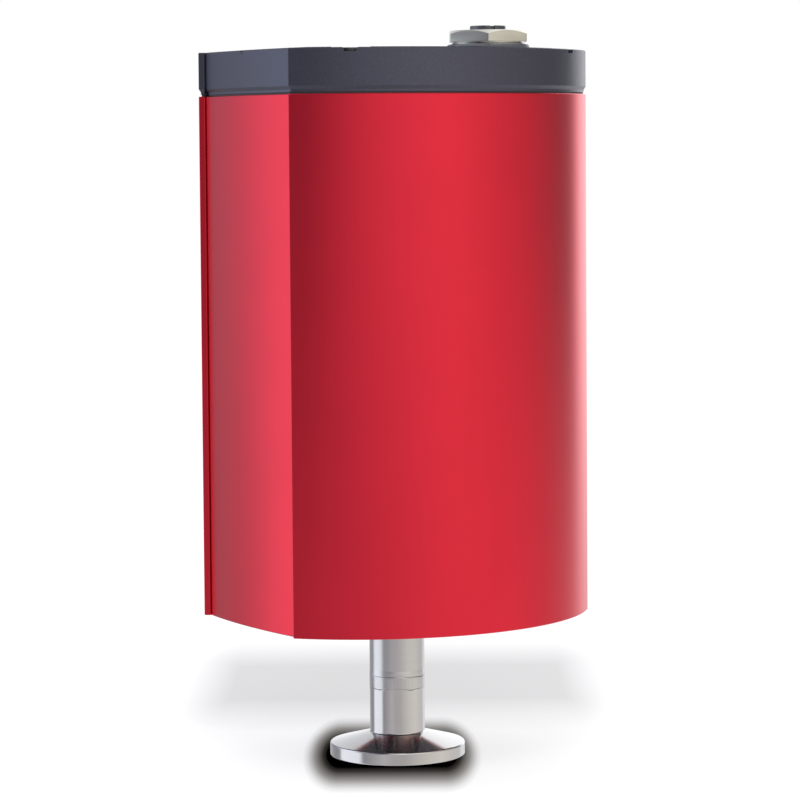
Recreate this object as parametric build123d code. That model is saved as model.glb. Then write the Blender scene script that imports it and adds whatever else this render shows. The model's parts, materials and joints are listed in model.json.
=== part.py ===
from build123d import *
import os
from math import cos, radians, sin, sqrt, tan

os.makedirs("parts", exist_ok=True)

# A capacitance diaphragm gauge, in millimetres.
# The origin is the centre of the flange's sealing face and +Z runs up the tube to the connector.
# The front panel looks along -Y, the two flanks along -X and +X.

# Housing section
PANEL_RADIUS = 50.0
PANEL_CENTRE = 12.75
FLANK_RADIUS = 156.0
HALF_WIDTH = 37.6
LIP_LEVEL = 20.15
LIP_BEVEL = 0.95
GROOVE_WIDTH = 0.4
GROOVE_BOTTOM = 36.1
WALL = 2.4
LIP_EDGE = 0.2
FLANK_EDGE = 0.2
END_BEVEL = 0.15

# Heights
HOUSING_BOTTOM = 31.6
HOUSING_TOP = 146.3
GASKET = 0.4
CAP_TOP = 155.9
FIELD_RISE = 0.15
PLATE_RECESS = 1.0
PLATE = 3.0
CAP_LIP_DEPTH = 3.0

# Cap
CAP_ROOF = 3.0
CAP_LIP_WALL = 1.2
FIELD_INSET = 2.5
GAP_INSET = 0.4
GAP_LAND = 0.5
GAP_BEVEL = 0.75
NOTCH_RADIUS = 1.0

# Corner screws
SCREW_X = 25.35
SCREW_Y = 25.4
SCREW_RADIUS = 1.5
BOSS_RADIUS = 3.5
SPOT_RADIUS = 4.37
SPOT_DEPTH = 0.85
LOW_HEAD_RADIUS = 3.3
LOW_HEAD = 0.8
SCREW_REACH = 9.0
FLAT_HEAD_RADIUS = 2.75
PLATE_EAR = 3.1
HEX_KEY = 2.0
FIT = 0.15

# Flange, tube and weld
FLANGE_RADIUS = 15.0
FLANGE_RIM = 2.75
FLANGE_SLOPE = 15.0
RECESS_RADIUS = 8.6
RECESS_DEPTH = 3.0
TUBE_RADIUS = 6.1
TUBE_BORE = 5.0
WELD_BOTTOM = 14.6
WELD_TOP = 19.2
WELD_PROUD = 0.05
RIM_EDGE = 0.4
FACE_EDGE = 0.2
TUBE_ROOT = 0.3

# Sensor body and cell
FOOT_RADIUS = 29.0
FOOT = 4.0
CUP_RADIUS = 23.0
CUP_BORE = 20.0
CUP_FLOOR = 43.0
CUP_TOP = 62.0
BAFFLE_RADIUS = 9.0
CELL_RADIUS = 19.5
SEAL_SECTION = 1.0
SEAL_RADIUS = 17.5
FRONT_RING_BORE = 12.0
FRONT_RING = 4.0
GLASS = 0.2
GLASS_BORE = 16.0
DIAPHRAGM = 0.6
CELL_BASE = 5.5
PIN_RADIUS = 0.4
PIN_CIRCLE = 9.0
GETTER_RADIUS = 5.0
GETTER_HEIGHT = 8.0
SPRING_OUTER = 18.5
SPRING_INNER = 14.5
SPRING_SHEET = 0.5
SPRING_RISE = 1.5
RETAINER = 3.0
RETAINER_BORE = 13.0
CAN_RADIUS = 22.5
CAN_HEIGHT = 8.0
CAN_SHEET = 0.5
CAN_WINDOW = 11.0
FIXING_CIRCLE = 26.0

# Boards
BOARD = 1.6
SENSOR_BOARD_LEVEL = 74.0
SENSOR_BOARD_RADIUS = 28.5
STANDOFF_RADIUS = 2.5
MAIN_BOARD_Y = 8.0
MAIN_BOARD_HALF = 34.4
MAIN_BOARD_LEG = 29.5
MAIN_BOARD_BOTTOM = 84.0
MAIN_BOARD_TOP = 138.0
RIB = 1.2
RIB_REACH = 32.4
BOARD_SCREW = 1.0
BOARD_SCREW_HEAD = 1.5
SLOT_WIDTH = 0.5
HEADER = 3.5
HEADER_HALF = 7.0
HEADER_TOP = 134.0
HEADER_DEPTH = 6.0
STRIP = 8.0
STRIP_SHEET = 0.3
STRIP_Y = 14.0
SOCKET = 4.0

# Each component on the round board, as its range in x, its range in y and its height
SENSOR_CHIPS = [
    ((-4, 4), (-18, -10), 1.4),
    ((-15, -11), (-3, 2), 1.2),
    ((11, 15), (-3, 2), 1.2),
]

# Each component in front of the upright board, as its range in x, its range in z and its height
MAIN_CHIPS = [
    ((-7, 7), (104, 118), 1.4),
    ((-26, -18), (108, 113), 1.6),
    ((14, 22), (92, 98), 1.6),
    ((-24, -12), (90, 98), 4.5),
]
CAPACITOR_RADIUS = 4.0
CAPACITOR_LENGTH = 8.0
CAPACITOR_PLACES = [(-24, 128), (-14, 128)]

# Connector
PLUG_X = 25.0
HEX_FLATS = 17.2
HEX_TURN = -2.0
HEX_BOTTOM = 158.25
HEX_TOP = 160.8
HEX_BEVEL = 0.5
NECK_RADIUS = 8.2
SEAL_RING_RADIUS = 9.25
SEAL_RING = 1.65
SHANK_RADIUS = 7.0
SHANK_BOTTOM = 147.5
SOCKET_RADIUS = 5.5
SOCKET_DEPTH = 8.5
RETAINING_STEP = 0.5
INSERT_RADIUS = 4.07
INSERT_TOP = 161.85
CONTACT_CIRCLE = 2.5
CONTACT_RADIUS = 0.75
CONTACT_BORE = 0.5
CONTACT_TAIL = 144.0
KEY_TURN = 252.0
KEY_WIDTH = 1.1
KEY_DEPTH = 0.8
LOCKNUT_FLATS = 17.0
LOCKNUT = 2.5
WIRE_RADIUS = 0.55
WIRE_ORDER = (2, -2, -4, 4, 0)

SCREW_CORNERS = [(x, y) for x in (-SCREW_X, SCREW_X) for y in (-SCREW_Y, SCREW_Y)]
CAP_BOTTOM = HOUSING_TOP + GASKET
PLATE_BOTTOM = HOUSING_BOTTOM + PLATE_RECESS
PLATE_TOP = PLATE_BOTTOM + PLATE
FIELD_TOP = CAP_TOP + FIELD_RISE
LIP_BOTTOM = HOUSING_TOP - CAP_LIP_DEPTH
SEAL_TOP = FIELD_TOP + SEAL_RING
CELL_BOTTOM = CUP_FLOOR + 2 * SEAL_SECTION
FRONT_RING_TOP = CELL_BOTTOM + FRONT_RING
UPPER_GLASS_TOP = FRONT_RING_TOP + 2 * GLASS + DIAPHRAGM
BASE_TOP = UPPER_GLASS_TOP + CELL_BASE


def save(name, solid):
    solid.label = name
    export_step(solid, f"parts/{name}.step")


def lift(sketch, bottom, top):
    """A sketch raised into a solid between two heights."""
    return extrude(Pos(0, 0, bottom) * sketch, amount=top - bottom)


def rod(radius, bottom, top, x=0.0, y=0.0):
    return lift(Pos(x, y) * Circle(radius), bottom, top)


def pipe(radius, bore, bottom, top, x=0.0, y=0.0):
    return lift(Pos(x, y) * (Circle(radius) - Circle(bore)), bottom, top)


def block(x_range, y_range, z_range):
    """A box between two corners, given as ranges along the three axes."""
    low, high = zip(x_range, y_range, z_range)
    size = [b - a for a, b in zip(low, high)]
    return Pos(*low) * Box(*size, align=(Align.MIN, Align.MIN, Align.MIN))


def turned(*points):
    """A solid of revolution about +Z from a closed outline of (radius, height) points."""
    return revolve(make_face(Plane.XZ * Polyline(*points, close=True)), Axis.Z)


def around(count, radius, start=0.0):
    """Places spread evenly on a circle about +Z, each as (x, y)."""
    turns = [radians(start + 360 * i / count) for i in range(count)]
    return [(radius * cos(a), radius * sin(a)) for a in turns]


def together(solids):
    """Separate solids kept in one node."""
    return Compound(children=[s if isinstance(s, Solid) else s.solid() for s in solids])


def panels(inset=0.0):
    """The lens between the front and the back panel's faces."""
    disc = Circle(PANEL_RADIUS - inset)
    return Pos(0, PANEL_CENTRE) * disc & Pos(0, -PANEL_CENTRE) * disc


def flanks(inset=0.0):
    """The lens between the two bulged flanks."""
    offset_x = FLANK_RADIUS - HALF_WIDTH
    disc = Circle(FLANK_RADIUS - inset)
    return Pos(-offset_x, 0) * disc & Pos(offset_x, 0) * disc


def room(inset):
    """The rounded-square section inside the walls."""
    return panels(inset) & flanks(inset)


def bevels(inset=0.0):
    """The space between the 45 degree bevels that the lips turn towards the flanks."""
    lip_reach = sqrt(PANEL_RADIUS**2 - (PANEL_CENTRE + LIP_LEVEL) ** 2)
    waist = lip_reach - LIP_LEVEL - sqrt(2) * inset
    side = waist + HALF_WIDTH
    corners = [(waist, 0), (side, HALF_WIDTH), (-side, HALF_WIDTH)]
    return make_face(Polyline(*corners, *[(-x, -y) for x, y in corners], close=True))


def outline(inset=0.0):
    """The outer section: both panels end in bevelled lips, with a narrow groove beside each flank."""
    lip = LIP_LEVEL - LIP_BEVEL + inset
    groove = LIP_LEVEL - LIP_BEVEL - GROOVE_WIDTH - inset
    core = GROOVE_BOTTOM - inset
    reach = 3 * HALF_WIDTH
    lips = bevels(inset) & (Rectangle(reach, reach) - Rectangle(reach, 2 * lip))
    between_grooves = flanks(inset) & Rectangle(reach, 2 * groove)
    section = panels(inset) & (lips + between_grooves + Rectangle(2 * core, reach))
    outer = [v for v in section.vertices() if abs(v.X) > core + FIT]
    section = fillet([v for v in outer if abs(v.Y) < groove + FIT], FLANK_EDGE)
    tips = [v for v in section.vertices() if abs(v.X) > core + FIT and abs(v.Y) > groove + FIT]
    return fillet(tips, LIP_EDGE)


SENSOR_SCREW_PLACES = around(3, FIXING_CIRCLE, start=30)
STANDOFF_PLACES = around(3, FIXING_CIRCLE, start=90)
PIN_PLACES = around(3, PIN_CIRCLE, start=90)
CONTACT_PLACES = around(4, CONTACT_CIRCLE, start=45) + [(0.0, 0.0)]


# Housing: one extrusion with screw channels in its corners and ribs that hold the upright board
def make_housing():
    shell = lift(outline(), HOUSING_BOTTOM, HOUSING_TOP)
    rim = [shell.faces().sort_by(Axis.Z)[i].outer_wire().edges() for i in (0, -1)]
    shell = chamfer(rim[0] + rim[1], END_BEVEL)
    inside = room(WALL)
    shell -= lift(inside, HOUSING_BOTTOM, HOUSING_TOP)
    for x, y in SCREW_CORNERS:
        shell += lift(Pos(x, y) * Circle(BOSS_RADIUS) & room(WALL / 2), PLATE_TOP, LIP_BOTTOM)
    slot_side = BOARD / 2 + FIT
    board_middle = MAIN_BOARD_Y + BOARD / 2
    for flank in (-1, 1):
        for side in (-1, 1):
            y = board_middle + side * (slot_side + RIB / 2)
            rib = Pos(flank * (RIB_REACH + HALF_WIDTH) / 2, y) * Rectangle(HALF_WIDTH - RIB_REACH, RIB)
            shell += lift(rib & room(WALL / 2), PLATE_TOP, LIP_BOTTOM)
    for x, y in SCREW_CORNERS:
        shell -= rod(SCREW_RADIUS, PLATE_TOP, LIP_BOTTOM, x, y)
        shell -= rod(PLATE_EAR + FIT, HOUSING_BOTTOM, PLATE_TOP, x, y)
    return shell


# Cap: a bevelled shadow gap at the foot, a raised field on top, a locating lip and four bosses
def make_cap():
    gap_top = CAP_BOTTOM + GAP_LAND
    body_bottom = gap_top + GAP_BEVEL
    roof = CAP_TOP - CAP_ROOF
    lip_inset = WALL + FIT
    cap = lift(outline(), body_bottom, CAP_TOP)
    cap = chamfer(cap.faces().sort_by(Axis.Z)[-1].outer_wire().edges(), END_BEVEL)
    cap += lift(outline(GAP_INSET), CAP_BOTTOM, gap_top)
    cap += loft([Pos(0, 0, gap_top) * outline(GAP_INSET), Pos(0, 0, body_bottom) * outline()], ruled=True)
    cap += lift(room(FIELD_INSET), CAP_TOP, FIELD_TOP)
    cap += lift(room(lip_inset), LIP_BOTTOM, CAP_BOTTOM)
    cap -= lift(room(lip_inset + CAP_LIP_WALL), LIP_BOTTOM, roof)
    for x, y in SCREW_CORNERS:
        cap += lift(Pos(x, y) * Circle(BOSS_RADIUS) & room(lip_inset), LIP_BOTTOM, CAP_TOP)
        cap -= rod(SCREW_RADIUS + FIT, LIP_BOTTOM, CAP_TOP, x, y)
        cap -= rod(SPOT_RADIUS, CAP_TOP - SPOT_DEPTH, FIELD_TOP, x, y)
    for flank in (-1, 1):
        cap -= Pos(flank * (HALF_WIDTH + NOTCH_RADIUS / 2), 0, CAP_TOP) * Sphere(NOTCH_RADIUS)
    return cap - rod(SHANK_RADIUS + FIT, roof, FIELD_TOP, PLUG_X)


def make_gasket():
    return lift(outline(GAP_INSET + FIT) - room(WALL), HOUSING_TOP, CAP_BOTTOM)


def key_hole():
    """The hexagon socket in a screw's head."""
    return RegularPolygon(HEX_KEY / 2, 6, major_radius=False)


def cap_screw(x, y):
    """A low-head screw with a hexagon socket."""
    seat = CAP_TOP - SPOT_DEPTH
    head = rod(LOW_HEAD_RADIUS, seat, seat + LOW_HEAD, x, y)
    head = chamfer(head.faces().sort_by(Axis.Z)[-1].edges(), LOW_HEAD / 4)
    shank = rod(SCREW_RADIUS, LIP_BOTTOM - SCREW_REACH, seat, x, y)
    return head + shank - lift(Pos(x, y) * key_hole(), seat - LOW_HEAD, CAP_TOP)


def make_bottom_plate():
    plate = lift(room(WALL + FIT), PLATE_BOTTOM, PLATE_TOP)
    for x, y in SCREW_CORNERS:
        plate += rod(PLATE_EAR, PLATE_BOTTOM, PLATE_TOP, x, y)
        plate -= rod(SCREW_RADIUS + FIT, PLATE_BOTTOM, PLATE_TOP, x, y)
        plate -= Pos(x, y, PLATE_BOTTOM) * countersink()
    for x, y in SENSOR_SCREW_PLACES:
        plate -= rod(SCREW_RADIUS, PLATE_BOTTOM, PLATE_TOP, x, y)
    return plate - rod(TUBE_RADIUS + FIT, PLATE_BOTTOM, PLATE_TOP)


def countersink():
    """The cone that a flat head fills, widest at its own origin."""
    depth = FLAT_HEAD_RADIUS - SCREW_RADIUS
    return turned((0, 0), (FLAT_HEAD_RADIUS, 0), (SCREW_RADIUS, depth), (0, depth))


def bottom_screw(x, y):
    """A flat-head screw, put in from below."""
    head = Pos(x, y, PLATE_BOTTOM) * countersink()
    shank = rod(SCREW_RADIUS, PLATE_BOTTOM, PLATE_TOP + SCREW_REACH, x, y)
    return head + shank - lift(Pos(x, y) * key_hole(), PLATE_BOTTOM, PLATE_BOTTOM + SCREW_RADIUS)


# Connector: a hexagon with a neck and a shank through the cap, and the contact carrier inside it
def make_connector_shell():
    hexagon = RegularPolygon(HEX_FLATS / 2, 6, major_radius=False, rotation=HEX_TURN)
    corner = HEX_FLATS / sqrt(3)
    crown = HEX_FLATS / 2 - HEX_BEVEL / 2
    drop = (corner - crown) * tan(radians(30))
    bevel = turned(
        (0, HEX_BOTTOM),
        (corner, HEX_BOTTOM),
        (corner, HEX_TOP - drop),
        (crown, HEX_TOP),
        (0, HEX_TOP),
    )
    shell = lift(hexagon, HEX_BOTTOM, HEX_TOP) & bevel
    shell += rod(NECK_RADIUS, SEAL_TOP, HEX_BOTTOM)
    shell += rod(SHANK_RADIUS, SHANK_BOTTOM, SEAL_TOP)
    shell -= rod(SOCKET_RADIUS, HEX_TOP - SOCKET_DEPTH, HEX_TOP)
    shell -= rod(SOCKET_RADIUS - RETAINING_STEP, SHANK_BOTTOM, HEX_TOP)
    return Pos(PLUG_X, 0) * shell


def make_connector_insert():
    carrier = rod(SOCKET_RADIUS - RETAINING_STEP, SHANK_BOTTOM, HEX_TOP - SOCKET_DEPTH)
    carrier += rod(INSERT_RADIUS, HEX_TOP - SOCKET_DEPTH, INSERT_TOP)
    carrier = chamfer(carrier.faces().sort_by(Axis.Z)[-1].edges(), END_BEVEL)
    key = Pos(INSERT_RADIUS, 0) * Rectangle(2 * KEY_DEPTH, KEY_WIDTH)
    carrier -= lift(Rot(0, 0, KEY_TURN) * key, HEX_TOP - SOCKET_DEPTH, INSERT_TOP)
    for x, y in CONTACT_PLACES:
        carrier -= rod(CONTACT_RADIUS, SHANK_BOTTOM, INSERT_TOP, x, y)
    return Pos(PLUG_X, 0) * carrier


def contact(x, y):
    sleeve = rod(CONTACT_RADIUS, SHANK_BOTTOM, INSERT_TOP - END_BEVEL, x, y)
    sleeve -= rod(CONTACT_BORE, HEX_TOP - SOCKET_DEPTH, INSERT_TOP, x, y)
    return Pos(PLUG_X, 0) * (sleeve + rod(CONTACT_BORE, CONTACT_TAIL, SHANK_BOTTOM, x, y))


def make_connector_seal():
    ring = pipe(SEAL_RING_RADIUS, SHANK_RADIUS, FIELD_TOP, SEAL_TOP, PLUG_X)
    edges = ring.edges().filter_by(GeomType.CIRCLE).group_by(SortBy.RADIUS)[-1]
    return fillet(edges, SEAL_RING / 3)


def make_locknut():
    roof = CAP_TOP - CAP_ROOF
    hexagon = RegularPolygon(LOCKNUT_FLATS / 2, 6, major_radius=False, rotation=30)
    return lift(Pos(PLUG_X, 0) * (hexagon - Circle(SHANK_RADIUS)), roof - LOCKNUT, roof)


def wire(x, y, header_x):
    """One insulated wire from a contact's tail down to the header on the board."""
    x += PLUG_X
    header_y = MAIN_BOARD_Y - HEADER / 2
    drop = (CONTACT_TAIL - HEADER_TOP) / 3
    path = FilletPolyline(
        (x, y, CONTACT_TAIL),
        (x, y, CONTACT_TAIL - drop),
        (header_x, header_y, HEADER_TOP + drop),
        (header_x, header_y, HEADER_TOP),
        radius=drop / 2,
    )
    return sweep(Plane(origin=path @ 0, z_dir=path % 0) * Circle(WIRE_RADIUS), path)


# Vacuum side
def make_port_flange():
    cone_top = FLANGE_RIM + (FLANGE_RADIUS - TUBE_RADIUS) * tan(radians(FLANGE_SLOPE))
    face = make_face(Plane.XZ * Polyline(
        (FLANGE_RADIUS, 0),
        (FLANGE_RADIUS, FLANGE_RIM),
        (TUBE_RADIUS, cone_top),
        (TUBE_RADIUS, WELD_BOTTOM),
        (TUBE_BORE, WELD_BOTTOM),
        (TUBE_BORE, RECESS_DEPTH),
        (RECESS_RADIUS, RECESS_DEPTH),
        (RECESS_RADIUS, 0),
        close=True,
    ))
    rim = [v for v in face.vertices() if v.X > FLANGE_RADIUS - FIT]
    face = fillet([v for v in rim if v.Z > FIT], RIM_EDGE)
    face = fillet([v for v in face.vertices() if v.X > FLANGE_RADIUS - FIT and v.Z < FIT], FACE_EDGE)
    root = [v for v in face.vertices() if abs(v.X - TUBE_RADIUS) < FIT and abs(v.Z - cone_top) < FIT]
    return revolve(fillet(root, TUBE_ROOT), Axis.Z)


def make_weld_bead():
    low = (TUBE_RADIUS, WELD_BOTTOM)
    proud = (TUBE_RADIUS + WELD_PROUD, (WELD_BOTTOM + WELD_TOP) / 2)
    high = (TUBE_RADIUS, WELD_TOP)
    crown = ThreePointArc(low, proud, high)
    back = Polyline(high, (TUBE_BORE, WELD_TOP), (TUBE_BORE, WELD_BOTTOM), low)
    return revolve(make_face(Plane.XZ * (crown + back)), Axis.Z)


def make_sensor_body():
    foot_top = PLATE_TOP + FOOT
    body = turned(
        (TUBE_BORE, WELD_TOP),
        (TUBE_RADIUS, WELD_TOP),
        (TUBE_RADIUS, PLATE_TOP),
        (FOOT_RADIUS, PLATE_TOP),
        (FOOT_RADIUS, foot_top),
        (CUP_RADIUS, foot_top),
        (CUP_RADIUS, CUP_TOP),
        (CUP_BORE, CUP_TOP),
        (CUP_BORE, CUP_FLOOR),
        (TUBE_BORE, CUP_FLOOR),
    )
    for x, y in SENSOR_SCREW_PLACES:
        body -= rod(SCREW_RADIUS + FIT, PLATE_TOP, foot_top, x, y)
    return body


def sensor_screw(x, y):
    """A socket-head screw that pulls the foot down on the bottom plate."""
    seat = PLATE_TOP + FOOT
    head = rod(FLAT_HEAD_RADIUS, seat, seat + 2 * SCREW_RADIUS, x, y)
    head -= lift(Pos(x, y) * key_hole(), seat + HEX_KEY / 2, CUP_TOP)
    return head + rod(SCREW_RADIUS, PLATE_BOTTOM, seat, x, y)


def make_baffle():
    plate = rod(BAFFLE_RADIUS, CELL_BOTTOM, CELL_BOTTOM + CAN_SHEET)
    for x, y in around(3, BAFFLE_RADIUS - 2, start=90):
        plate += rod(CAN_SHEET, CUP_FLOOR, CELL_BOTTOM, x, y)
    return plate


def make_ceramic_base():
    base = rod(CELL_RADIUS, UPPER_GLASS_TOP, BASE_TOP) - rod(GETTER_RADIUS / 2, UPPER_GLASS_TOP, BASE_TOP)
    for x, y in PIN_PLACES:
        base -= rod(PIN_RADIUS, UPPER_GLASS_TOP, BASE_TOP, x, y)
    return base


def make_getter_cap():
    cap = rod(GETTER_RADIUS, BASE_TOP, BASE_TOP + GETTER_HEIGHT)
    return cap - rod(GETTER_RADIUS - CAN_SHEET, BASE_TOP, BASE_TOP + GETTER_HEIGHT - CAN_SHEET)


def make_disc_spring():
    top = BASE_TOP + SPRING_RISE
    return turned(
        (SPRING_OUTER, BASE_TOP),
        (SPRING_OUTER, BASE_TOP + SPRING_SHEET),
        (SPRING_INNER, top + SPRING_SHEET),
        (SPRING_INNER, top),
    )


def make_retainer():
    bottom = BASE_TOP + SPRING_RISE + SPRING_SHEET
    ring = pipe(CUP_BORE, RETAINER_BORE, bottom, bottom + RETAINER)
    for turn in (0, 90):
        slot = Rot(0, 0, turn) * Rectangle(2 * CUP_BORE, RETAINER)
        ring -= lift(slot, bottom + RETAINER / 2, bottom + RETAINER)
    return ring


def make_can():
    can = rod(CAN_RADIUS, CUP_TOP, CUP_TOP + CAN_HEIGHT)
    can -= rod(CAN_RADIUS - CAN_SHEET, CUP_TOP, CUP_TOP + CAN_HEIGHT - CAN_SHEET)
    return can - rod(CAN_WINDOW, CUP_TOP, CUP_TOP + CAN_HEIGHT)


# Electronics
def standoff(x, y):
    """A hexagonal post with a tapped hole in its top."""
    post = lift(Pos(x, y) * RegularPolygon(STANDOFF_RADIUS, 6), PLATE_TOP + FOOT, SENSOR_BOARD_LEVEL)
    return post - rod(BOARD_SCREW, SENSOR_BOARD_LEVEL - 6 * BOARD_SCREW, SENSOR_BOARD_LEVEL, x, y)


def board_screw(x, y):
    """A small slotted screw."""
    seat = SENSOR_BOARD_LEVEL + BOARD
    top = seat + BOARD_SCREW_HEAD
    screw = rod(2 * BOARD_SCREW, seat, top, x, y)
    screw -= lift(Pos(x, y) * Rectangle(4 * BOARD_SCREW, SLOT_WIDTH), top - SLOT_WIDTH, top)
    return screw + rod(BOARD_SCREW, SENSOR_BOARD_LEVEL - 4 * BOARD_SCREW, seat, x, y)


def make_sensor_board():
    board = rod(SENSOR_BOARD_RADIUS, SENSOR_BOARD_LEVEL, SENSOR_BOARD_LEVEL + BOARD)
    for x, y in STANDOFF_PLACES:
        board -= rod(BOARD_SCREW, SENSOR_BOARD_LEVEL, SENSOR_BOARD_LEVEL + BOARD, x, y)
    for x, y in PIN_PLACES:
        board -= rod(PIN_RADIUS, SENSOR_BOARD_LEVEL, SENSOR_BOARD_LEVEL + BOARD, x, y)
    return board


def sensor_board_parts():
    """A converter chip, two small chips and the socket of the flexible strip, on top of the round board."""
    face = SENSOR_BOARD_LEVEL + BOARD
    parts = [block(across, along, (face, face + height)) for across, along, height in SENSOR_CHIPS]
    socket_y = (STRIP_Y - SOCKET / 2, STRIP_Y + SOCKET / 2)
    return parts + [block((-STRIP, STRIP), socket_y, (face, face + HEADER))]


def make_main_board():
    """Upright board: two legs stand on the bottom plate and two ears meet the cap's lip."""
    front, back = MAIN_BOARD_Y, MAIN_BOARD_Y + BOARD
    board = block((-MAIN_BOARD_HALF, MAIN_BOARD_HALF), (front, back), (MAIN_BOARD_BOTTOM, MAIN_BOARD_TOP))
    for side in (-1, 1):
        span = sorted((side * MAIN_BOARD_LEG, side * MAIN_BOARD_HALF))
        board += block(span, (front, back), (PLATE_TOP, LIP_BOTTOM))
    return board


def main_board_parts():
    """The wire header, four chips and two capacitors in front, and the strip's socket behind."""
    face = MAIN_BOARD_Y
    back = MAIN_BOARD_Y + BOARD
    socket_z = (MAIN_BOARD_BOTTOM + SOCKET, MAIN_BOARD_BOTTOM + 2 * SOCKET)
    header_x = (PLUG_X - HEADER_HALF, PLUG_X + HEADER_HALF)
    parts = [block(across, (face - height, face), up) for across, up, height in MAIN_CHIPS]
    parts.append(block(header_x, (face - HEADER, face), (HEADER_TOP - HEADER_DEPTH, HEADER_TOP)))
    parts.append(block((-STRIP, STRIP), (back, back + SOCKET), socket_z))
    on_base = (Align.CENTER, Align.CENTER, Align.MIN)
    drum = Rot(90, 0, 0) * Cylinder(CAPACITOR_RADIUS, CAPACITOR_LENGTH, align=on_base)
    return parts + [Pos(x, face, z) * drum for x, z in CAPACITOR_PLACES]


def make_board_link():
    """Flexible strip from the round board's socket up to the socket behind the upright board."""
    end_y = MAIN_BOARD_Y + BOARD + SOCKET / 2
    low = SENSOR_BOARD_LEVEL + BOARD + HEADER
    high = MAIN_BOARD_BOTTOM + SOCKET
    rise = (high - low) / 3
    path = FilletPolyline(
        (0, STRIP_Y, low),
        (0, STRIP_Y, low + rise),
        (0, end_y, high - rise),
        (0, end_y, high),
        radius=rise / 2,
    )
    across = Rectangle(1.75 * STRIP, STRIP_SHEET)
    return sweep(Plane(origin=path @ 0, x_dir=(1, 0, 0), z_dir=path % 0) * across, path)


save("housing_shell", make_housing())
save("top_cap", make_cap())
save("cap_gasket", make_gasket())
save("cap_screws", together([cap_screw(x, y) for x, y in SCREW_CORNERS]))
save("bottom_plate", make_bottom_plate())
save("bottom_screws", together([bottom_screw(x, y) for x, y in SCREW_CORNERS]))

save("connector_shell", make_connector_shell())
save("connector_insert", make_connector_insert())
save("connector_contacts", together([contact(x, y) for x, y in CONTACT_PLACES]))
save("connector_seal", make_connector_seal())
save("connector_locknut", make_locknut())
header_pins = [PLUG_X + 2 * WIRE_RADIUS * step for step in WIRE_ORDER]
wires = [wire(x, y, header_x) for (x, y), header_x in zip(CONTACT_PLACES, header_pins)]
save("wire_loom", together(wires))

save("port_flange", make_port_flange())
save("weld_bead", make_weld_bead())
save("sensor_body", make_sensor_body())
save("sensor_screws", together([sensor_screw(x, y) for x, y in SENSOR_SCREW_PLACES]))
save("baffle_plate", make_baffle())
save("sensor_seal", Pos(0, 0, CUP_FLOOR + SEAL_SECTION) * Torus(SEAL_RADIUS, SEAL_SECTION))
save("ceramic_front_ring", pipe(CELL_RADIUS, FRONT_RING_BORE, CELL_BOTTOM, FRONT_RING_TOP))
save("diaphragm_lower_glass", pipe(CELL_RADIUS, GLASS_BORE, FRONT_RING_TOP, FRONT_RING_TOP + GLASS))
save("ceramic_diaphragm", rod(CELL_RADIUS, FRONT_RING_TOP + GLASS, UPPER_GLASS_TOP - GLASS))
save("diaphragm_upper_glass", pipe(CELL_RADIUS, GLASS_BORE, UPPER_GLASS_TOP - GLASS, UPPER_GLASS_TOP))
save("ceramic_base", make_ceramic_base())
pin_top = SENSOR_BOARD_LEVEL + 2 * BOARD
save("feedthrough_pins", together([rod(PIN_RADIUS, UPPER_GLASS_TOP, pin_top, x, y) for x, y in PIN_PLACES]))
save("getter_cap", make_getter_cap())
save("disc_spring", make_disc_spring())
save("retainer_ring", make_retainer())
save("shield_can", make_can())

save("board_standoffs", together([standoff(x, y) for x, y in STANDOFF_PLACES]))
save("sensor_board", make_sensor_board())
save("board_screws", together([board_screw(x, y) for x, y in STANDOFF_PLACES]))
save("sensor_board_parts", together(sensor_board_parts()))
save("main_board", make_main_board())
save("main_board_parts", together(main_board_parts()))
save("board_link", make_board_link())
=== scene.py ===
# %% [markdown]
# A capacitance diaphragm gauge measures the pressure in a vacuum chamber. A small clamp flange at the
# foot joins it to the chamber, a short steel tube leads the gas up to a ceramic sensor, and a red
# anodised housing with a dark cap holds the electronics and a round cable connector.
#
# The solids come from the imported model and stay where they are. This script gives each of them its
# finish, models the pieces whose look depends on fine relief, and sets up a plain studio.

# %% Load the frame
import json
import math

import bpy
from mathutils import Matrix, Vector

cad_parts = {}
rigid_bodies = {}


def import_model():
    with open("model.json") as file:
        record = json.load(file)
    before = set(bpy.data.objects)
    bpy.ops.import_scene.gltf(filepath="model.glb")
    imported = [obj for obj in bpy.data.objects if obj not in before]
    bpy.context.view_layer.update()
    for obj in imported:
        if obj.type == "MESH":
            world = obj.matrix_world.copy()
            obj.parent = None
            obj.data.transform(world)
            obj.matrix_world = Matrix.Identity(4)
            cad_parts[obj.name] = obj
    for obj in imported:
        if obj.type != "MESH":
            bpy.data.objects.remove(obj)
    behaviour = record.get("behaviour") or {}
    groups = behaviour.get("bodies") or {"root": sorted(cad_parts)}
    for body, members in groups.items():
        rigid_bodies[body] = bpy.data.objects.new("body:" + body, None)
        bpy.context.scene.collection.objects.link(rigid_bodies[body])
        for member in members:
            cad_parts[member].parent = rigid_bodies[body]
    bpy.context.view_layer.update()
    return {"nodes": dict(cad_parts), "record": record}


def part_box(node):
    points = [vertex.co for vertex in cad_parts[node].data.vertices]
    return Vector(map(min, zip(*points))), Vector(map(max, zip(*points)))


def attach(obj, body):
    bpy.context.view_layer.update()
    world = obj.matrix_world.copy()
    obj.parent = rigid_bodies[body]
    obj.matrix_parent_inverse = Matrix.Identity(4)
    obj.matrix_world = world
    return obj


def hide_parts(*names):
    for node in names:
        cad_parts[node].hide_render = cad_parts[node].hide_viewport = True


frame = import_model()

# %% [markdown]
# A photograph is matched by its camera first. The curve of the flange's rim and the slope of the
# cap's edges fix the distance: a long lens, 0.7 m away, a little above the middle of the housing and
# turned 31 degrees towards the left flank. A small downward shift keeps the verticals upright.

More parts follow.
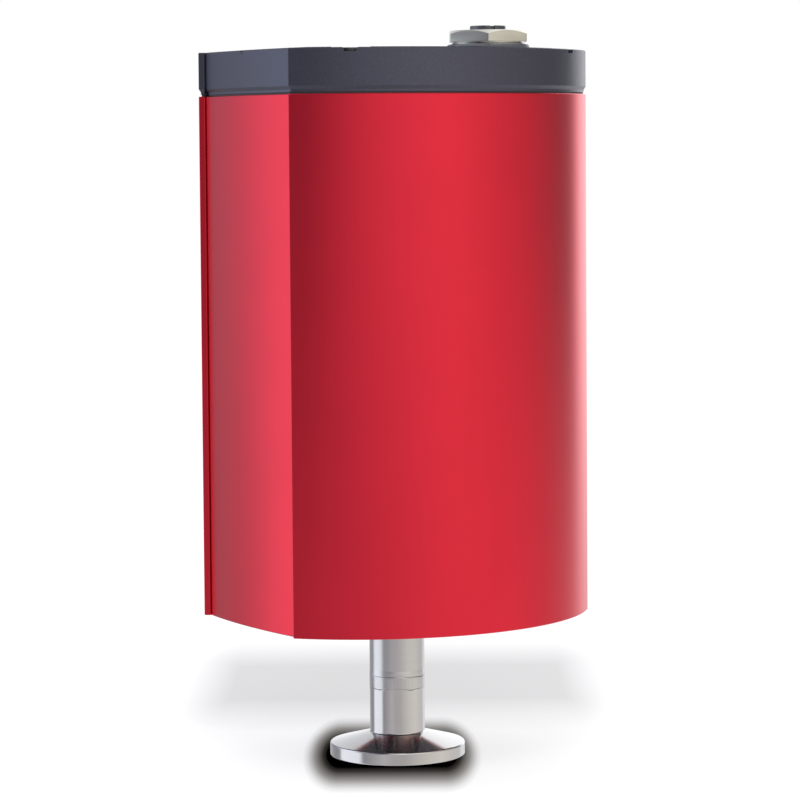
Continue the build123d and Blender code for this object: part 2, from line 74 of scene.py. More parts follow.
# %% Camera
CAMERA_PLACE = Vector((-0.36245, -0.60295, 0.13671))
CAMERA_TURN = math.radians(-31.109)
CAMERA_DIP = math.radians(3.541)
CAMERA_ROLL = math.radians(-0.4234)
CAMERA_LENS = 143.3
CAMERA_SHIFT = -0.08


def camera_axes():
    """The camera's right, up and backward directions."""
    level_right = Vector((math.cos(CAMERA_TURN), math.sin(CAMERA_TURN), 0))
    level_ahead = Vector((-math.sin(CAMERA_TURN), math.cos(CAMERA_TURN), 0))
    ahead = level_ahead * math.cos(CAMERA_DIP) - Vector((0, 0, math.sin(CAMERA_DIP)))
    up = Vector((0, 0, math.cos(CAMERA_DIP))) + level_ahead * math.sin(CAMERA_DIP)
    right = level_right * math.cos(CAMERA_ROLL) + up * math.sin(CAMERA_ROLL)
    up = up * math.cos(CAMERA_ROLL) - level_right * math.sin(CAMERA_ROLL)
    return right, up, -ahead


lens = bpy.data.cameras.new("camera")
lens.lens = CAMERA_LENS
lens.shift_y = CAMERA_SHIFT
camera = bpy.data.objects.new("camera", lens)
bpy.context.scene.collection.objects.link(camera)
camera.matrix_world = Matrix.Translation(CAMERA_PLACE) @ Matrix(camera_axes()).transposed().to_4x4()
bpy.context.scene.camera = camera
bpy.context.scene.view_settings.view_transform = "Standard"
print("camera distance in m:", round(CAMERA_PLACE.length, 3))

# %% [markdown]
# Every finish is a small network of nodes. Building one by hand means many clicks, and in code it
# means many lines, so two helpers do the wiring. Wire wraps an output and turns arithmetic into Math
# nodes, and Board adds any other node from its type, its settings and its inputs.

# %% Shader maths as expressions
class Wire:
    """The output of a node. Arithmetic on it adds Math nodes."""

    def __init__(self, board, socket):
        self.board = board
        self.socket = socket

    def combine(self, operation, first, second):
        return self.board.node("ShaderNodeMath", {"operation": operation}, {0: first, 1: second})

    def __add__(self, other):
        return self.combine("ADD", self, other)

    def __radd__(self, other):
        return self.combine("ADD", other, self)

    def __sub__(self, other):
        return self.combine("SUBTRACT", self, other)

    def __rsub__(self, other):
        return self.combine("SUBTRACT", other, self)

    def __mul__(self, other):
        return self.combine("MULTIPLY", self, other)

    def __rmul__(self, other):
        return self.combine("MULTIPLY", other, self)

    def __truediv__(self, other):
        return self.combine("DIVIDE", self, other)

    def __pow__(self, other):
        return self.combine("POWER", self, other)


class Board:
    """One node tree, emptied and ready to be wired."""

    def __init__(self, owner):
        owner.use_nodes = True
        self.tree = owner.node_tree
        self.tree.nodes.clear()

    def node(self, kind, settings=None, inputs=None, output=0):
        """Adds a node: settings come first, then a value or a Wire for each input."""
        made = self.tree.nodes.new(kind)
        for name, value in (settings or {}).items():
            if name == "stops":
                self.set_stops(made.color_ramp.elements, value)
            else:
                setattr(made, name, value)
        for name, value in (inputs or {}).items():
            if isinstance(value, Wire):
                self.tree.links.new(value.socket, made.inputs[name])
            else:
                made.inputs[name].default_value = value
        return Wire(self, made.outputs[output]) if made.outputs else made

    def set_stops(self, elements, stops):
        while len(elements) < len(stops):
            elements.new(1.0)
        for element, (place, colour) in zip(elements, stops):
            element.position = place
            element.color = (*colour, 1.0)

    def place(self):
        """The position on the piece, in metres."""
        return self.node("ShaderNodeTexCoord", output="Object")

    def stretched(self, scale):
        """The position, scaled along each axis, so that a pattern can run in one direction."""
        return self.node("ShaderNodeMapping", inputs={"Vector": self.place(), "Scale": scale})

    def noise(self, size, detail=3.0, along=None):
        """Noise from 0 to 1 with patches of about this size in metres."""
        where = self.place() if along is None else self.stretched(along)
        return self.node("ShaderNodeTexNoise", inputs={"Vector": where, "Scale": 1 / size, "Detail": detail})

    def ramp(self, factor, *stops):
        return self.node("ShaderNodeValToRGB", {"stops": stops}, {"Fac": factor})

    def blend(self, factor, first, second):
        """A colour between two colours."""
        inputs = {0: factor, 6: first, 7: second}
        return self.node("ShaderNodeMix", {"data_type": "RGBA"}, inputs, output=2)

    def bump(self, height, depth):
        """A relief whose height of 1 stands this far out, in metres."""
        return self.node("ShaderNodeBump", inputs={"Height": height, "Distance": depth, "Strength": 1.0})

    def surface(self, **inputs):
        named = {name.replace("_", " ").title().replace("Ior", "IOR"): v for name, v in inputs.items()}
        shader = self.node("ShaderNodeBsdfPrincipled", inputs=named)
        self.node("ShaderNodeOutputMaterial", inputs={"Surface": shader})


def colour(red, green, blue):
    return (red, green, blue, 1.0)


def shade(tone, factor):
    """A colour made lighter or darker."""
    return colour(*(min(1.0, part * factor) for part in tone[:3]))


# %% [markdown]
# Anodised aluminium is a metal seen through a dyed glassy layer. The metal gives the broad satin
# reflection its red, and the layer adds a weak clear one that turns the edges pale. The etching
# before the dye bath leaves a grain of about a tenth of a millimetre, and the extrusion leaves
# very faint lines along its length.

# %% Finish of the housing
def red_anodised(board):
    grain = board.noise(0.00012, 2.0)
    cloud = board.noise(0.012, 2.0)
    die_lines = board.noise(0.0008, 3.0, along=(1.0, 1.0, 0.004))
    red = colour(0.61, 0.022, 0.042)
    tone = board.blend(cloud, shade(red, 0.96), shade(red, 1.04))
    relief = board.bump(grain * 0.8 + die_lines * 0.2, 0.000003)
    board.surface(
        base_color=tone,
        metallic=1.0,
        roughness=0.3 + (grain - 0.5) * 0.08,
        coat_weight=0.1,
        coat_roughness=0.2,
        coat_ior=1.5,
        normal=relief,
    )


# %% [markdown]
# The cap is a casting with a dark metallic coating. It mirrors the studio as strongly as the housing
# does, only darker and cooler, so it is a metal too. Its grain is coarser than the anodising, like
# fine sandpaper, and single flakes catch the light.

# %% Finish of the cap
def slate_coating(board):
    grain = board.noise(0.0005, 4.0)
    fine = board.noise(0.00015, 2.0)
    flakes = board.ramp(board.noise(0.0006, 1.0), (0.60, (0, 0, 0)), (0.72, (1, 1, 1)))
    slate = colour(0.066, 0.067, 0.091)
    tone = board.blend(grain, shade(slate, 0.86), shade(slate, 1.14))
    lit = board.blend(flakes * 0.15, tone, shade(slate, 1.7))
    relief = board.bump(grain * 0.7 + fine * 0.3, 0.00002)
    board.surface(base_color=lit, metallic=0.85, roughness=0.36 + (fine - 0.5) * 0.16, normal=relief)


# %% [markdown]
# Turning leaves two looks on the steel. The tube was only passed over with an abrasive band, so it
# is satin with fine rings round it. The flange's rim and cone seal against others and were polished
# until they mirror the tube. One material does both: the distance from the tube's axis decides how
# rough the steel is.

# %% Finish of the turned steel
TUBE_RADIUS = 0.0061
POLISH_START = 0.0063
WELD_MIDDLE = 0.01655


def turned_steel(board):
    where = board.node("ShaderNodeSeparateXYZ", inputs={0: board.place()})
    x, y, z = (Wire(board, where.socket.node.outputs[i]) for i in range(3))
    from_axis = (x * x + y * y) ** 0.5
    polished = board.ramp((from_axis - POLISH_START) * 4000.0, (0.0, (0, 0, 0)), (1.0, (1, 1, 1)))
    rings = board.noise(0.00025, 3.0, along=(0.02, 0.02, 1.0))
    cloud = board.noise(0.003, 3.0)
    steel = colour(0.47, 0.46, 0.455)
    tone = board.blend(rings, shade(steel, 0.93), shade(steel, 1.05))
    mixed = board.blend(cloud, shade(steel, 0.97), tone)
    stub = board.ramp((WELD_MIDDLE - z) * 800.0, (0.0, (0, 0, 0)), (1.0, (1, 1, 1)))
    satin = 0.23 - stub * 0.09 + (cloud - 0.5) * 0.06
    board.surface(
        base_color=mixed,
        metallic=1.0,
        roughness=satin + polished * (0.13 - satin),
        normal=board.bump(rings * (1 - polished * 0.9), 0.0000012),
    )


# %% [markdown]
# The weld joins the flange's tube stub to the sensor's. The torch went round the joint once, and each
# pulse of it froze as a shallow crescent over the one before. The crescents are a saw-tooth wave
# round the tube that bends forward in the middle of the seam. Where the seam ends above and below,
# the colour is darker in a thin line that follows its wavy edge.

# %% Finish of the weld
WELD_HALF = 0.00145
PULSES = 46


def weld_finish(board):
    where = board.node("ShaderNodeSeparateXYZ", inputs={0: board.place()})
    x, y, z = (Wire(board, where.socket.node.outputs[i]) for i in range(3))
    turn = board.node("ShaderNodeMath", {"operation": "ARCTAN2"}, {0: y, 1: x})
    sway = (board.noise(0.0035, 1.5) - 0.5) * 0.0013
    across = (z - WELD_MIDDLE + sway) / WELD_HALF
    bend = across * across
    phase = turn * (PULSES / (2 * math.pi)) + bend * 0.7 + sway * 400
    pulse = board.node("ShaderNodeMath", {"operation": "FRACT"}, {0: phase + PULSES})
    inside = board.ramp(bend, (0.55, (1, 1, 1)), (0.95, (0, 0, 0)))
    toe = board.ramp(bend, (0.72, (0, 0, 0)), (0.9, (1, 1, 1)), (1.0, (1, 1, 1)), (1.25, (0, 0, 0)))
    patches = board.ramp(board.noise(0.0035, 2.0), (0.42, (0.1, 0.1, 0.1)), (0.62, (1, 1, 1)))
    steel = colour(0.47, 0.46, 0.455)
    # Dark colour laid along the seam's upper and lower toes, in patches.
    dark_toe_tone = colour(0.10, 0.095, 0.11)
    plain = board.blend(inside * pulse * 0.35, steel, shade(steel, 0.8))
    tone = board.blend(toe * patches, plain, dark_toe_tone)
    relief = board.bump(inside * pulse * 0.5 - toe * 0.6, 0.00003)
    board.surface(base_color=tone, metallic=1.0, roughness=0.21 + toe * 0.2, normal=relief)


# %% Plain finishes
def metal(board, tone, roughness, grain_size, depth, along=None):
    """Bare or plated metal with a fine grain, or lines where it is stretched along an axis."""
    grain = board.noise(grain_size, 3.0, along)
    cloud = board.noise(0.004, 2.0)
    tint = board.blend(cloud, shade(tone, 0.93), shade(tone, 1.05))
    board.surface(
        base_color=tint,
        metallic=1.0,
        roughness=roughness + (grain - 0.5) * 0.4 * roughness,
        normal=board.bump(grain, depth),
    )


def moulded(board, tone, roughness, grain_size, depth):
    """Plastic, rubber, ceramic or varnish: a dielectric with a fine grain."""
    grain = board.noise(grain_size, 3.0)
    tint = board.blend(grain, shade(tone, 0.85), shade(tone, 1.12))
    board.surface(
        base_color=tint,
        roughness=roughness + (grain - 0.5) * 0.4 * roughness,
        normal=board.bump(grain, depth),
    )


# %% Finish of every slot
FINISHES = {
    "red_anodised_aluminium": (red_anodised, ()),
    "dark_cap_coating": (slate_coating, ()),
    "black_rubber": (moulded, (colour(0.02, 0.02, 0.022), 0.6, 0.0004, 0.00001)),
    "grey_seal_rubber": (moulded, (colour(0.10, 0.11, 0.13), 0.4, 0.0004, 0.00001)),
    "black_steel_screws": (metal, (colour(0.06, 0.06, 0.065), 0.4, 0.0002, 0.000005)),
    "steel_screws": (metal, (colour(0.55, 0.55, 0.54), 0.3, 0.0002, 0.000003)),
    "black_anodised_plate": (metal, (colour(0.10, 0.10, 0.11), 0.4, 0.00015, 0.000003)),
    "nickel_plated_brass": (metal, (colour(0.47, 0.455, 0.40), 0.24, 0.00015, 0.000001)),
    "black_contact_plastic": (moulded, (colour(0.050, 0.052, 0.060), 0.2, 0.0003, 0.000003)),
    "gold_contacts": (metal, (colour(0.75, 0.55, 0.20), 0.2, 0.0003, 0.000002)),
    "turned_stainless_steel": (turned_steel, ()),
    "alumina_ceramic": (moulded, (colour(0.86, 0.84, 0.78), 0.5, 0.0005, 0.000005)),
    "sealing_glass": (moulded, (colour(0.45, 0.50, 0.52), 0.15, 0.0008, 0.000002)),
    "tinned_sheet": (metal, (colour(0.62, 0.62, 0.60), 0.25, 0.0006, 0.000003)),
    "green_board": (moulded, (colour(0.02, 0.16, 0.07), 0.3, 0.0008, 0.00001)),
    "component_black": (moulded, (colour(0.03, 0.03, 0.03), 0.5, 0.0003, 0.000005)),
    "flex_strip_amber": (moulded, (colour(0.55, 0.27, 0.05), 0.25, 0.001, 0.000003)),
    "wire_insulation": (moulded, (colour(0.10, 0.10, 0.35), 0.4, 0.0005, 0.000003)),
}
finishes = {}
for slot, (make, values) in FINISHES.items():
    finishes[slot] = bpy.data.materials.new(slot)
    make(Board(finishes[slot]), *values)
finishes["weld"] = bpy.data.materials.new("weld")
weld_finish(Board(finishes["weld"]))
for part in frame["record"]["subparts"]:
    solid = frame["nodes"][part["node"]]
    solid.data.materials.clear()
    solid.data.materials.append(finishes[part["material_slot"]])

# %% [markdown]
# The weld, the connector and the screws carry relief that plain solids leave out: a crowned seam,
# a thread, bevels where the plug goes in. They are all round or six-sided, so most of the work is
# one idea, used as a turner uses a lathe: a circle is extruded from height to height, and each new
# ring is scaled to its radius.

# %% A lathe made of circles
MM = 0.001


def clear_selection():
    bpy.ops.object.select_all(action="DESELECT")


def lathe(name, rings, segments=96, closed=False):
    """A turned piece on the world's Z axis. Each ring is a radius and a height in millimetres."""
    clear_selection()
    radius, height = rings[0]
    bpy.ops.mesh.primitive_circle_add(vertices=segments, radius=radius * MM, location=(0, 0, height * MM))
    piece = bpy.context.object
    piece.name = name
    bpy.ops.object.mode_set(mode="EDIT")
    for next_radius, next_height in rings[1:]:
        bpy.ops.mesh.extrude_edges_move(TRANSFORM_OT_translate={"value": (0, 0, (next_height - height) * MM)})
        growth = next_radius / radius
        bpy.ops.transform.resize(value=(growth, growth, 1), center_override=(0, 0, next_height * MM))
        radius, height = next_radius, next_height
    bpy.ops.mesh.select_all(action="SELECT")
    bpy.ops.mesh.select_mode(type="EDGE")
    bpy.ops.mesh.select_all(action="DESELECT")
    bpy.ops.mesh.select_non_manifold(extend=False)
    if closed:
        bpy.ops.mesh.bridge_edge_loops()
    else:
        bpy.ops.mesh.fill_holes(sides=0)
    bpy.ops.mesh.select_all(action="SELECT")
    bpy.ops.mesh.normals_make_consistent(inside=False)
    bpy.ops.object.mode_set(mode="OBJECT")
    return piece


def settle(piece):
    """Puts the piece's place and size into its mesh and its origin at the world's."""
    clear_selection()
    piece.select_set(True)
    bpy.context.view_layer.objects.active = piece
    bpy.ops.object.transform_apply(location=True, rotation=True, scale=True)


def carve(piece, tool, operation="DIFFERENCE"):
    """Cuts the piece by the tool, or joins or intersects them. The tool is used up."""
    settle(tool)
    settle(piece)
    cut = piece.modifiers.new("carve", "BOOLEAN")
    cut.operation = operation
    cut.solver = "EXACT"
    cut.object = tool
    bpy.ops.object.modifier_apply(modifier=cut.name)
    bpy.data.objects.remove(tool)


def finish_piece(piece, slot, nodes, finish=None, angle=30.0):
    """Shades the piece, gives it its material and puts it in place of its solids."""
    settle(piece)
    bpy.ops.object.mode_set(mode="EDIT")
    bpy.ops.mesh.select_all(action="SELECT")
    bpy.ops.mesh.remove_doubles(threshold=0.0000005)
    bpy.ops.mesh.normals_make_consistent(inside=False)
    bpy.ops.object.mode_set(mode="OBJECT")
    bpy.ops.object.shade_smooth_by_angle(angle=math.radians(angle))
    piece.data.materials.clear()
    piece.data.materials.append(finish or finishes[slot])
    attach(piece, "root")
    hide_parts(*nodes)
    print(piece.name, "has", len(piece.data.polygons), "faces")


# %% [markdown]
# The seam stands a sixth of a millimetre proud of the tube, like a flattened barrel, with a shallow
# groove at each toe. An arc gives the barrel its profile.

# %% Weld seam
WELD_LOW = 14.6
WELD_HIGH = 19.2
WELD_PROUD = 0.05
TUBE_BORE = 5.0
SEAM_STEPS = 20


def seam_ring(step):
    share = step / SEAM_STEPS
    crown = WELD_PROUD * math.sin(math.pi * share) ** 0.8
    return (1000 * TUBE_RADIUS + crown, WELD_LOW + share * (WELD_HIGH - WELD_LOW))


seam_rings = [seam_ring(step) for step in range(SEAM_STEPS + 1)]
seam = lathe("weld_seam", [(TUBE_BORE, WELD_LOW)] + seam_rings + [(TUBE_BORE, WELD_HIGH)], 160, closed=True)
finish_piece(seam, "turned_stainless_steel", ["weld_bead"], finishes["weld"], angle=40.0)

# %% [markdown]
# The connector's shell is a hexagon bar that was turned down to a neck and a shank, bored and
# threaded. It is made in the same order: a six-sided prism with eased edges is trimmed by a cone,
# which leaves the arcs on its flats, joined with the turned parts, and bored.

# %% Connector's body
plug_low, plug_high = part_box("connector_shell")
PLUG_PLACE = (1000 * (plug_low[0] + plug_high[0]) / 2, 1000 * (plug_low[1] + plug_high[1]) / 2)
HEX_FLATS = 17.2
HEX_TURN = -2.0
HEX_LOW = 158.25
HEX_HIGH = 1000 * plug_high[2]
HEX_BEVEL = 0.5
NECK_RADIUS = 8.2
SEAL_TOP = 157.7
SHANK_RADIUS = 7.0
SHANK_LOW = 1000 * plug_low[2]
SOCKET_RADIUS = 5.5
SOCKET_DEPTH = 8.5
print("connector stands at", [round(v, 2) for v in PLUG_PLACE], "up to", round(HEX_HIGH, 2))
print("solid hexagon in mm:", [round(1000 * v, 2) for v in plug_high - plug_low])


def hexagon_bar():
    """The six-sided prism, with its upright edges eased."""
    clear_selection()
    height = HEX_HIGH - HEX_LOW
    bpy.ops.mesh.primitive_cylinder_add(
        vertices=6, radius=HEX_FLATS / math.sqrt(3) * MM, depth=height * MM, location=(0, 0, (HEX_LOW + height / 2) * MM)
    )
    bar = bpy.context.object
    settle(bar)
    bpy.ops.object.mode_set(mode="EDIT")
    bpy.ops.mesh.select_all(action="DESELECT")
    bpy.ops.mesh.select_mode(type="EDGE")
    bpy.ops.object.mode_set(mode="OBJECT")
    for edge in bar.data.edges:
        low, high = (bar.data.vertices[i].co for i in edge.vertices)
        edge.select = abs(low.z - high.z) > height * MM / 2
    bpy.ops.object.mode_set(mode="EDIT")
    bpy.ops.mesh.bevel(offset=0.25 * MM, segments=3, affect="EDGES")
    turn = math.radians(30 + HEX_TURN)
    bpy.ops.mesh.select_all(action="SELECT")
    bpy.ops.transform.rotate(value=-turn, orient_axis="Z", center_override=(0, 0, 0))
    bpy.ops.object.mode_set(mode="OBJECT")
    return bar


crown = HEX_FLATS / 2 - HEX_BEVEL / 2
corner = 1.04 * HEX_FLATS / math.sqrt(3)
drop = (corner - crown) * math.tan(math.radians(30))
shell = hexagon_bar()
shell.name = "connector_body"
trim = lathe("trim", [(corner, HEX_LOW - 1), (corner, HEX_HIGH - drop), (crown, HEX_HIGH)], 144)
carve(shell, trim, "INTERSECT")
neck = lathe("neck", [
    (SHANK_RADIUS, SHANK_LOW),
    (SHANK_RADIUS, SEAL_TOP),
    (NECK_RADIUS, SEAL_TOP),
    (NECK_RADIUS, SEAL_TOP + 0.15),
    (NECK_RADIUS - 0.25, SEAL_TOP + 0.3),
    (NECK_RADIUS - 0.25, HEX_LOW + 0.1),
])
carve(shell, neck, "UNION")
MOUTH = 0.35
bore = lathe("bore", [
    (SOCKET_RADIUS - 0.5, SHANK_LOW - 1),
    (SOCKET_RADIUS - 0.5, HEX_HIGH - SOCKET_DEPTH),
    (SOCKET_RADIUS, HEX_HIGH - SOCKET_DEPTH),
    (SOCKET_RADIUS, HEX_HIGH - MOUTH),
    (SOCKET_RADIUS + 2 * MOUTH, HEX_HIGH + MOUTH),
])
carve(shell, bore)
print("connector's body:", len(shell.data.polygons), "faces")

# %% [markdown]
# A thread is one small triangle, carried round the bore while it climbs. The Screw modifier does just
# that. The triangle's base lies a little inside the wall, so that no gap shows.

# %% Thread in the bore
PITCH = 1.0
THREAD_DEPTH = 0.4
TURNS = 6


def bore_thread():
    clear_selection()
    start = (SOCKET_RADIUS * MM, 0, (HEX_HIGH - SOCKET_DEPTH + PITCH) * MM)
    bpy.ops.mesh.primitive_circle_add(
        vertices=3, radius=THREAD_DEPTH * MM, location=start, rotation=(math.pi / 2, 0, 0)
    )
    ridge = bpy.context.object
    bpy.ops.object.mode_set(mode="EDIT")
    bpy.ops.transform.rotate(value=math.pi / 2, orient_axis="Y", center_override=start)
    bpy.ops.object.mode_set(mode="OBJECT")
    settle(ridge)
    climb = ridge.modifiers.new("climb", "SCREW")
    climb.axis = "Z"
    climb.angle = 2 * math.pi
    climb.screw_offset = PITCH * MM
    climb.iterations = TURNS
    climb.steps = climb.render_steps = 48
    bpy.ops.object.modifier_apply(modifier=climb.name)
    bpy.ops.object.mode_set(mode="EDIT")
    bpy.ops.mesh.select_mode(type="EDGE")
    bpy.ops.mesh.select_all(action="DESELECT")
    bpy.ops.mesh.select_non_manifold(extend=False)
    bpy.ops.mesh.fill_holes(sides=0)
    bpy.ops.object.mode_set(mode="OBJECT")
    return ridge


thread = bore_thread()
print("thread reaches in to", round(1000 * min(v.co.xy.length for v in thread.data.vertices), 2), "mm")
clear_selection()
thread.select_set(True)
shell.select_set(True)
bpy.context.view_layer.objects.active = shell
bpy.ops.object.join()
shell.location = (PLUG_PLACE[0] * MM, PLUG_PLACE[1] * MM, 0)
finish_piece(shell, "nickel_plated_brass", ["connector_shell"])

# %% [markdown]
# The contact carrier is a moulded plug with five holes and a groove that lets the cable's plug in
# only one way round. Each hole has a small funnel at its mouth. One cutter is modelled, and copies of
# it are set round the middle.

# %% Contact carrier
CARRIER_RADIUS = 4.07
CARRIER_TOP = 161.85
CONTACT_CIRCLE = 2.5
CONTACT_HOLE = 0.75
KEY_TURN = 252.0
KEY_WIDTH = 1.1
KEY_DEPTH = 0.8
EASE = 0.2
carrier_floor = HEX_HIGH - SOCKET_DEPTH
carrier = lathe("contact_carrier", [
    (SOCKET_RADIUS - 0.5, SHANK_LOW),
    (SOCKET_RADIUS - 0.5, carrier_floor),
    (CARRIER_RADIUS, carrier_floor),
    (CARRIER_RADIUS, CARRIER_TOP - EASE),
    (CARRIER_RADIUS - EASE / 3, CARRIER_TOP - EASE / 3),
    (CARRIER_RADIUS - EASE, CARRIER_TOP),
    (CARRIER_RADIUS - 3 * EASE, CARRIER_TOP),
    (CARRIER_RADIUS - 3.5 * EASE, CARRIER_TOP - EASE / 2),
])
holes = [(0.0, 0.0)]
for quarter in range(4):
    turn = math.radians(45 + 90 * quarter)
    holes.append((CONTACT_CIRCLE * math.cos(turn), CONTACT_CIRCLE * math.sin(turn)))
for x, y in holes:
    drill = lathe("drill", [
        (CONTACT_HOLE, SHANK_LOW - 1),
        (CONTACT_HOLE, CARRIER_TOP - 2 * EASE),
        (CONTACT_HOLE + 2 * EASE, CARRIER_TOP),
    ], 32)
    drill.location = (x * MM, y * MM, 0)
    carve(carrier, drill)
clear_selection()
key_angle = math.radians(KEY_TURN)
key_reach = CARRIER_RADIUS
bpy.ops.mesh.primitive_cube_add(
    size=1,
    location=(key_reach * MM * math.cos(key_angle), key_reach * MM * math.sin(key_angle), CARRIER_TOP * MM),
    rotation=(0, 0, key_angle),
    scale=(2 * KEY_DEPTH * MM, KEY_WIDTH * MM, 2 * SOCKET_DEPTH * MM),
)
carve(carrier, bpy.context.object)
carrier.location = (PLUG_PLACE[0] * MM, PLUG_PLACE[1] * MM, 0)
finish_piece(carrier, "black_contact_plastic", ["connector_insert"])

# %% [markdown]
# The cap is held by four low-head screws, deep in their pockets. One is turned on the lathe and gets
# its hexagon socket, with a funnel where the key goes in. The other three are copies.

# %% Cap screws
SCREW_X = 25.35
SCREW_Y = 25.4
SCREW_RADIUS = 1.5
HEAD_RADIUS = 3.3
HEAD = 0.8
SEAT = 155.05
KEY_FLATS = 2.0
screw_low, screw_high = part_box("cap_screws")
screw = lathe("cap_screw", [
    (SCREW_RADIUS - 0.3, 1000 * screw_low[2]),
    (SCREW_RADIUS, 1000 * screw_low[2] + 0.3),
    (SCREW_RADIUS, SEAT),
    (HEAD_RADIUS - 0.1, SEAT),
    (HEAD_RADIUS, SEAT + 0.1),
    (HEAD_RADIUS, SEAT + HEAD - 0.2),
    (HEAD_RADIUS - 0.06, SEAT + HEAD - 0.06),
    (HEAD_RADIUS - 0.2, SEAT + HEAD),
], 64)
socket_corner = KEY_FLATS / math.sqrt(3)
socket = lathe("socket", [
    (socket_corner, SEAT - HEAD),
    (socket_corner, SEAT + HEAD - 0.15),
    (socket_corner + 0.3, SEAT + HEAD + 0.15),
], 6)
carve(screw, socket)
settle(screw)
screws = [screw]
for x, y in ((-SCREW_X, SCREW_Y), (SCREW_X, -SCREW_Y), (SCREW_X, SCREW_Y)):
    copy = bpy.data.objects.new("cap_screw", screw.data.copy())
    bpy.context.scene.collection.objects.link(copy)
    copy.location = (x * MM, y * MM, 0)
    screws.append(copy)
screw.location = (-SCREW_X * MM, -SCREW_Y * MM, 0)
clear_selection()
for copy in screws:
    copy.select_set(True)
bpy.context.view_layer.objects.active = screw
bpy.ops.object.join()
screw.name = "cap_screw_set"
finish_piece(screw, "black_steel_screws", ["cap_screws"])

# %% [markdown]
# The gauge stands on a white sheet, which keeps the soft shadow that the light gives it. Two painted
# shadows are laid into the sheet's colour, in millimetres of its own plane, and stay there from every side.
# One is a painted dark ring close to the flange, a painted contact shadow. Its reach is measured from
# a short line through the flange's middle, which makes it a little wider than deep in the picture.
# The other is a broad pale painted shadow behind the gauge, where a lamp above the camera would throw
# one. Polished steel looks through the sheet at the studio's walls, as it does on a table of glass.

# %% Floor
FLOOR_SIZE = 8.0
# Sizes in millimetres of the painted contact shadow ring and the painted shadow patch behind the gauge.
SHADOW_RING_HALF = 11.4
SHADOW_RING_ASIDE = 1.2
SHADOW_RING_SQUASH = 0.193
SHADOW_PATCH_MIDDLE = 94.0
SHADOW_PATCH_HALF = (47.0, 46.0)
clear_selection()
bpy.ops.mesh.primitive_plane_add(size=FLOOR_SIZE)
floor = bpy.context.object
floor.name = "floor"


def largest(board, first, second):
    return board.node("ShaderNodeMath", {"operation": "MAXIMUM"}, {0: first, 1: second})


def magnitude(board, value):
    return board.node("ShaderNodeMath", {"operation": "ABSOLUTE"}, {0: value})


def floor_finish(board):
    where = board.node("ShaderNodeSeparateXYZ", inputs={0: board.place()})
    x, y, z = (Wire(board, where.socket.node.outputs[i]) * 1000.0 for i in range(3))
    ahead = x * math.sin(CAMERA_TURN) - y * math.cos(CAMERA_TURN)
    aside = x * math.cos(CAMERA_TURN) + y * math.sin(CAMERA_TURN)
    beyond = largest(board, magnitude(board, aside + SHADOW_RING_ASIDE) - SHADOW_RING_HALF, 0.0)
    reach = (beyond * beyond + (ahead * SHADOW_RING_SQUASH) ** 2) ** 0.5
    # Painted contact shadow: the floor's colour goes dark close to the flange and fades to white a few
    # millimetres out.
    painted_shadow_ring = board.ramp(
        reach / 10.0,
        (0.31, (0.0, 0.0, 0.0)),
        (0.40, (0.040, 0.036, 0.032)),
        (0.49, (0.155, 0.147, 0.138)),
        (0.58, (0.31, 0.30, 0.29)),
        (0.67, (0.57, 0.56, 0.55)),
        (0.76, (0.82, 0.82, 0.82)),
        (0.86, (1.0, 1.0, 1.0)),
    )
    # Painted shadow: the floor's colour is a pale grey patch behind the gauge, with soft edges.
    wide, deep = SHADOW_PATCH_HALF
    off_side = largest(board, magnitude(board, aside) - wide + 6.0, 0.0) / 12.0
    off_depth = largest(board, magnitude(board, ahead + SHADOW_PATCH_MIDDLE) - deep + 22.0, 0.0) / 44.0
    painted_shadow_patch = board.ramp(
        (off_side * off_side + off_depth * off_depth) ** 0.5,
        (0.0, (0.735, 0.735, 0.735)),
        (0.5, (0.87, 0.87, 0.87)),
        (1.0, (1.0, 1.0, 1.0)),
    )
    # The floor's colour with both painted shadows multiplied in.
    sheet_with_painted_shadows = board.node(
        "ShaderNodeMix", {"data_type": "RGBA", "blend_type": "MULTIPLY"}, {0: 1.0, 6: painted_shadow_ring, 7: painted_shadow_patch}, output=2
    )
    seen = board.node("ShaderNodeLightPath", output="Is Camera Ray")
    glossy = board.node("ShaderNodeLightPath", output="Is Glossy Ray")
    paper = board.node("ShaderNodeBsdfDiffuse", inputs={"Color": colour(0.8, 0.8, 0.8)})
    shadowed = board.node(
        "ShaderNodeBsdfDiffuse",
        inputs={"Color": board.blend(0.68, sheet_with_painted_shadows, colour(0, 0, 0))},
    )
    glow = board.node("ShaderNodeEmission", inputs={"Color": sheet_with_painted_shadows, "Strength": 0.72})
    lifted = board.node("ShaderNodeAddShader", inputs={0: shadowed, 1: glow})
    shown = board.node("ShaderNodeMixShader", inputs={0: seen, 1: paper, 2: lifted})
    clear = board.node("ShaderNodeBsdfTransparent")
    whole = board.node("ShaderNodeMixShader", inputs={0: glossy, 1: shown, 2: clear})
    board.node("ShaderNodeOutputMaterial", inputs={"Surface": whole})


floor_paper = bpy.data.materials.new("floor_paper")
floor_finish(Board(floor_paper))
floor.data.materials.append(floor_paper)

# %% [markdown]
# Metal shows its surroundings, so the studio's walls are as much a part of its look as its colour is.
# The walls are two strips of light and dark round the object, one above the camera's level and one
# below it, told apart by the height of the ray. Each stop is a compass bearing, 0 in front of the
# panel and negative towards the left flank, and the colour of the wall there.

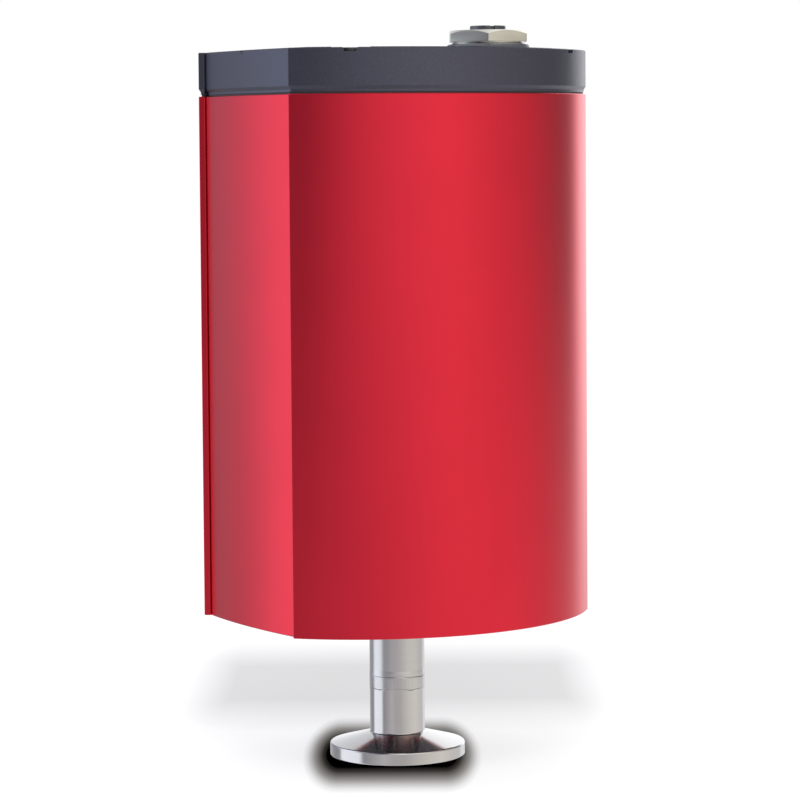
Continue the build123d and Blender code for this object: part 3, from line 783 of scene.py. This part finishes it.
# %% Studio walls
UPPER_WALL = [
    (-180, (0.42, 0.44, 0.50)),
    (-165, (0.46, 0.47, 0.58)),
    (-150, (0.85, 0.88, 1.05)),
    (-136, (1.75, 1.90, 2.15)),
    (-112, (1.50, 1.65, 1.85)),
    (-100, (0.60, 0.66, 0.78)),
    (-80, (0.42, 0.43, 0.52)),
    (-62, (0.14, 0.13, 0.17)),
    (-45, (0.62, 0.58, 0.62)),
    (-28, (1.02, 1.00, 1.02)),
    (-8, (1.26, 1.24, 1.24)),
    (15, (1.38, 1.34, 1.26)),
    (38, (0.95, 0.90, 0.84)),
    (62, (0.68, 0.64, 0.62)),
    (88, (0.32, 0.30, 0.32)),
    (104, (0.28, 0.28, 0.30)),
    (112, (2.1, 2.1, 2.15)),
    (140, (1.60, 1.62, 1.65)),
    (180, (0.42, 0.44, 0.50)),
]
LOWER_WALL = [
    (-180, (0.55, 0.56, 0.60)),
    (-160, (0.46, 0.47, 0.50)),
    (-148, (0.55, 0.57, 0.62)),
    (-142, (1.65, 1.70, 1.85)),
    (-100, (1.60, 1.66, 1.80)),
    (-92, (0.50, 0.49, 0.53)),
    (-75, (0.66, 0.65, 0.68)),
    (-55, (0.88, 0.87, 0.90)),
    (-40, (0.76, 0.74, 0.75)),
    (-20, (0.76, 0.73, 0.72)),
    (0, (0.94, 0.91, 0.87)),
    (25, (1.14, 1.10, 1.02)),
    (50, (1.26, 1.22, 1.15)),
    (75, (1.10, 1.07, 1.04)),
    (100, (1.00, 1.00, 1.02)),
    (112, (1.30, 1.30, 1.33)),
    (145, (0.70, 0.70, 0.72)),
    (180, (0.55, 0.56, 0.60)),
]
WALL_SEAM = (-0.16, -0.02)


def studio(board):
    aim = board.node("ShaderNodeSeparateXYZ", inputs={0: board.node("ShaderNodeTexCoord", output="Generated")})
    x, y, z = (Wire(board, aim.socket.node.outputs[i]) for i in range(3))
    bearing = board.node("ShaderNodeMath", {"operation": "ARCTAN2"}, {0: x, 1: 0 - y})
    share = bearing / (2 * math.pi) + 0.5
    walls = [board.ramp(share, *[((turn + 180) / 360, tone) for turn, tone in wall]) for wall in (LOWER_WALL, UPPER_WALL)]
    low, high = WALL_SEAM
    height = board.ramp((z - low) / (high - low), (0.0, (0, 0, 0)), (1.0, (1, 1, 1)))
    around = board.blend(height, *walls)
    seen = board.node("ShaderNodeLightPath", output="Is Camera Ray")
    tone = board.blend(seen, around, colour(1, 1, 1))
    light = board.node("ShaderNodeBackground", inputs={"Color": tone, "Strength": 1.0})
    board.node("ShaderNodeOutputWorld", inputs={"Surface": light})


world = bpy.data.worlds.new("studio")
bpy.context.scene.world = world
studio(Board(world))


# %% [markdown]
# The walls give most of the light. One broad lamp above the camera adds a faint real shadow behind
# the gauge, so that it stands on the sheet. The pale grey patch there is a painted shadow in the floor's
# colour.

# %% Softbox
def softbox(name, place, target, size, watts):
    lamp = bpy.data.lights.new(name, "AREA")
    lamp.shape = "RECTANGLE"
    lamp.size, lamp.size_y = size
    lamp.energy = watts
    holder = bpy.data.objects.new(name, lamp)
    bpy.context.scene.collection.objects.link(holder)
    holder.location = place
    holder.rotation_euler = (Vector(target) - Vector(place)).to_track_quat("-Z", "Y").to_euler()
    return holder


softbox("overhead", (-0.35, -0.58, 1.0), (0, 0, 0.08), (0.5, 0.5), 4.0)
